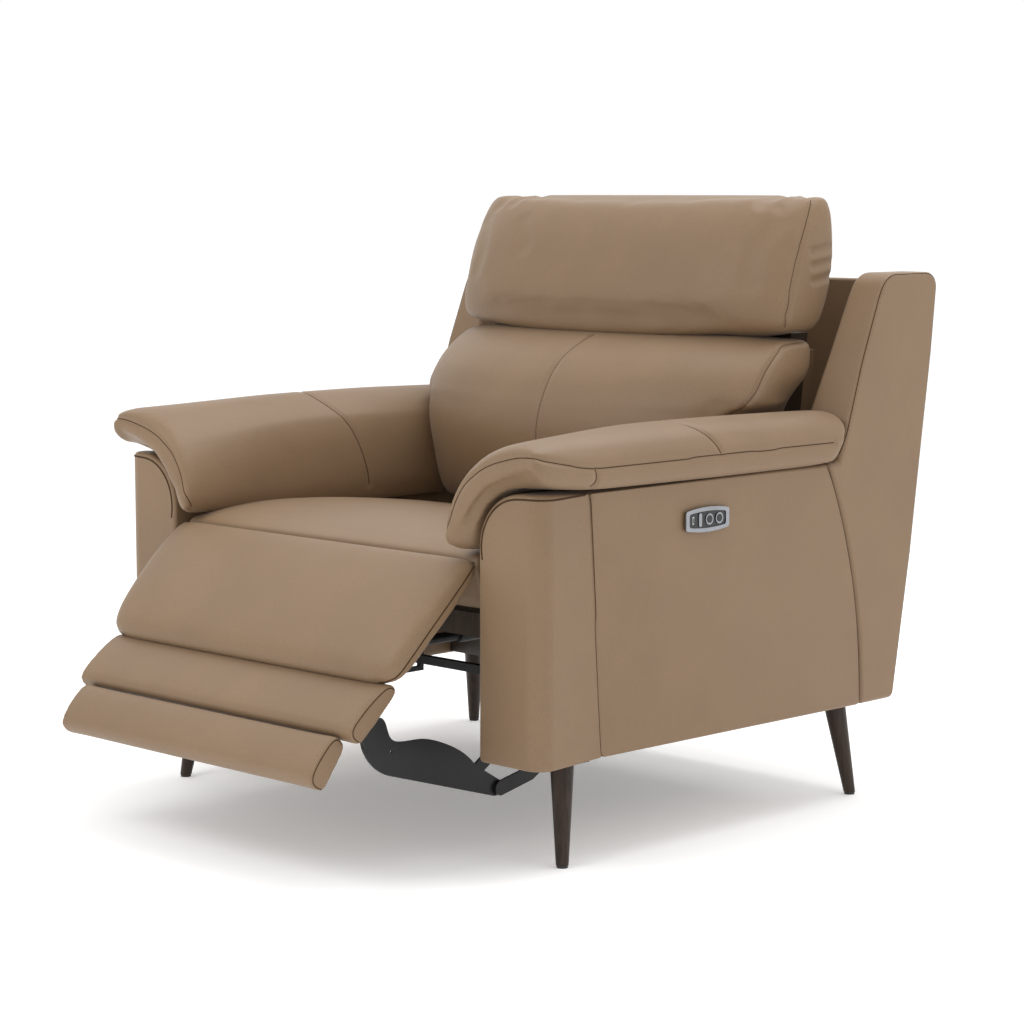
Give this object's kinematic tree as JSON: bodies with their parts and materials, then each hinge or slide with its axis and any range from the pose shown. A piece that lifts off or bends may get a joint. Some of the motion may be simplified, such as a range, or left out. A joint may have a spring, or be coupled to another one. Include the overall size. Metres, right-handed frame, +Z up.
{
  "type": "recliner armchair",
  "caption": "Leather power recliner armchair with folding leg rest, reclining back, tilting headrest, padded arms and splayed timber legs.",
  "frame": {"origin": "centre of the footprint on the floor, with the leg rest part way out", "axes": "+X to the sitter's left, -Y out of the front, +Z up"},
  "size_m": [1.034, 1.2718, 1.026],
  "materials": {
    "leather": "satin",
    "timber": "matte",
    "walnut": "satin",
    "black_steel": "satin",
    "zinc_steel": "satin",
    "black_plastic": "matte",
    "webbing": "matte",
    "chrome": "polished"
  },
  "bodies": {
    "base": {"charging_socket": "black_plastic", "cross_rails": "timber", "floor_glides": "black_plastic", "front_left_leg": "walnut", "front_right_leg": "walnut", "left_arm_box": "leather", "left_arm_frame": "timber", "left_arm_pad": "leather", "left_wing": "leather", "leg_plates": "black_steel", "outer_back": "leather", "rear_left_leg": "walnut", "rear_right_leg": "walnut", "recline_motor": "black_plastic", "recline_tube": "black_steel", "right_arm_box": "leather", "right_arm_frame": "timber", "right_arm_pad": "leather", "right_wing": "leather", "slide_rails": "black_steel", "switch_bezel": "chrome", "switch_plate": "black_plastic"},
    "seat": {"seat_frame": "timber", "slide_runners": "black_steel", "seat_webbing": "webbing", "seat_cushion": "leather", "left_side_plate": "black_steel", "right_side_plate": "black_steel", "hinge_brackets": "black_steel", "recline_rod": "zinc_steel", "recline_bracket": "black_steel", "footrest_motor": "black_plastic", "footrest_tube": "black_steel"},
    "footrest_drive_rod": {"footrest_rod": "zinc_steel"},
    "crank": {"left_crank": "black_steel", "right_crank": "black_steel", "cross_bar": "black_steel"},
    "front_links": {"left_front_link": "black_steel", "right_front_link": "black_steel"},
    "swing_arms": {"left_swing_arm": "black_steel", "right_swing_arm": "black_steel"},
    "leg_panel": {"leg_panel_board": "timber", "leg_panel_cushion": "leather"},
    "middle_panel": {"middle_panel_board": "timber", "middle_panel_cushion": "leather", "middle_panel_lugs": "black_steel"},
    "toe_panel": {"toe_panel_board": "timber", "toe_panel_cushion": "leather"},
    "back": {"back_frame": "timber", "back_hinge_ears": "black_steel", "lumbar_cushion": "leather", "back_cover": "leather", "track_guides": "black_steel"},
    "headrest": {"headrest_cushion": "leather", "headrest_board": "timber", "headrest_tracks": "black_steel"},
    "home_key": {"home_button": "chrome"},
    "recline_key": {"recline_button": "chrome"},
    "return_key": {"return_button": "chrome"}
  },
  "joints": [
    {"name": "seat_glide", "type": "slide", "parent": "base", "child": "seat", "axis": [0, -1, 0], "range_m": [0, 0.1105]},
    {"name": "back_recline", "type": "hinge", "parent": "seat", "child": "back", "pos_m": [0, 0.32285, 0.4], "axis": [-1, 0, 0], "range_deg": [0, 20]},
    {"name": "headrest_tilt", "type": "hinge", "parent": "back", "child": "headrest", "pos_m": [0, 0.29785, 0.77], "axis": [1, 0, 0], "range_deg": [0, 20]},
    {"name": "leg_rest", "type": "hinge", "parent": "seat", "child": "leg_panel", "pos_m": [0, -0.33215, 0.455], "axis": [-1, 0, 0], "range_deg": [-43, 22]},
    {"name": "middle_fold", "type": "hinge", "parent": "leg_panel", "child": "middle_panel", "pos_m": [0, -0.48015, 0.29], "axis": [-1, 0, 0], "range_deg": [-6.55, 3.4]},
    {"name": "toe_fold", "type": "hinge", "parent": "middle_panel", "child": "toe_panel", "pos_m": [0, -0.55515, 0.206], "axis": [-1, 0, 0], "range_deg": [-43.1, 22.1]},
    {"name": "crank_turn", "type": "hinge", "parent": "seat", "child": "crank", "pos_m": [0, -0.05855, 0.339], "axis": [-1, 0, 0], "range_deg": [-45.04, 23.09]},
    {"name": "front_link_turn", "type": "hinge", "parent": "seat", "child": "front_links", "pos_m": [0, -0.11155, 0.365], "axis": [-1, 0, 0], "range_deg": [-45.04, 23.09]},
    {"name": "swing_arm_turn", "type": "hinge", "parent": "crank", "child": "swing_arms", "pos_m": [0, -0.23715, 0.096], "axis": [-1, 0, 0], "range_deg": [-23.09, 45.04]},
    {"name": "footrest_drive", "type": "slide", "parent": "seat", "child": "footrest_drive_rod", "axis": [0, -1, 0], "range_m": [-0.07555, 0.0389]},
    {"name": "home_press", "type": "slide", "parent": "base", "child": "home_key", "axis": [-1, 0, 0], "range_m": [0, 0.0015], "stiffness_N_per_m": 300},
    {"name": "recline_press", "type": "slide", "parent": "base", "child": "recline_key", "axis": [-1, 0, 0], "range_m": [0, 0.0015], "stiffness_N_per_m": 300},
    {"name": "return_press", "type": "slide", "parent": "base", "child": "return_key", "axis": [-1, 0, 0], "range_m": [0, 0.0015], "stiffness_N_per_m": 300}
  ],
  "couplings": [
    {"joint": "seat_glide", "follows": "back_recline", "m_per_rad": 0.3151},
    {"joint": "middle_fold", "follows": "leg_rest", "ratio": 0.15},
    {"joint": "toe_fold", "follows": "leg_rest", "ratio": 1},
    {"joint": "crank_turn", "follows": "leg_rest", "ratio": 1.0451},
    {"joint": "front_link_turn", "follows": "leg_rest", "ratio": 1.0451},
    {"joint": "swing_arm_turn", "follows": "leg_rest", "ratio": -1.0451},
    {"joint": "footrest_drive", "follows": "leg_rest", "m_per_rad": 0.1}
  ]
}
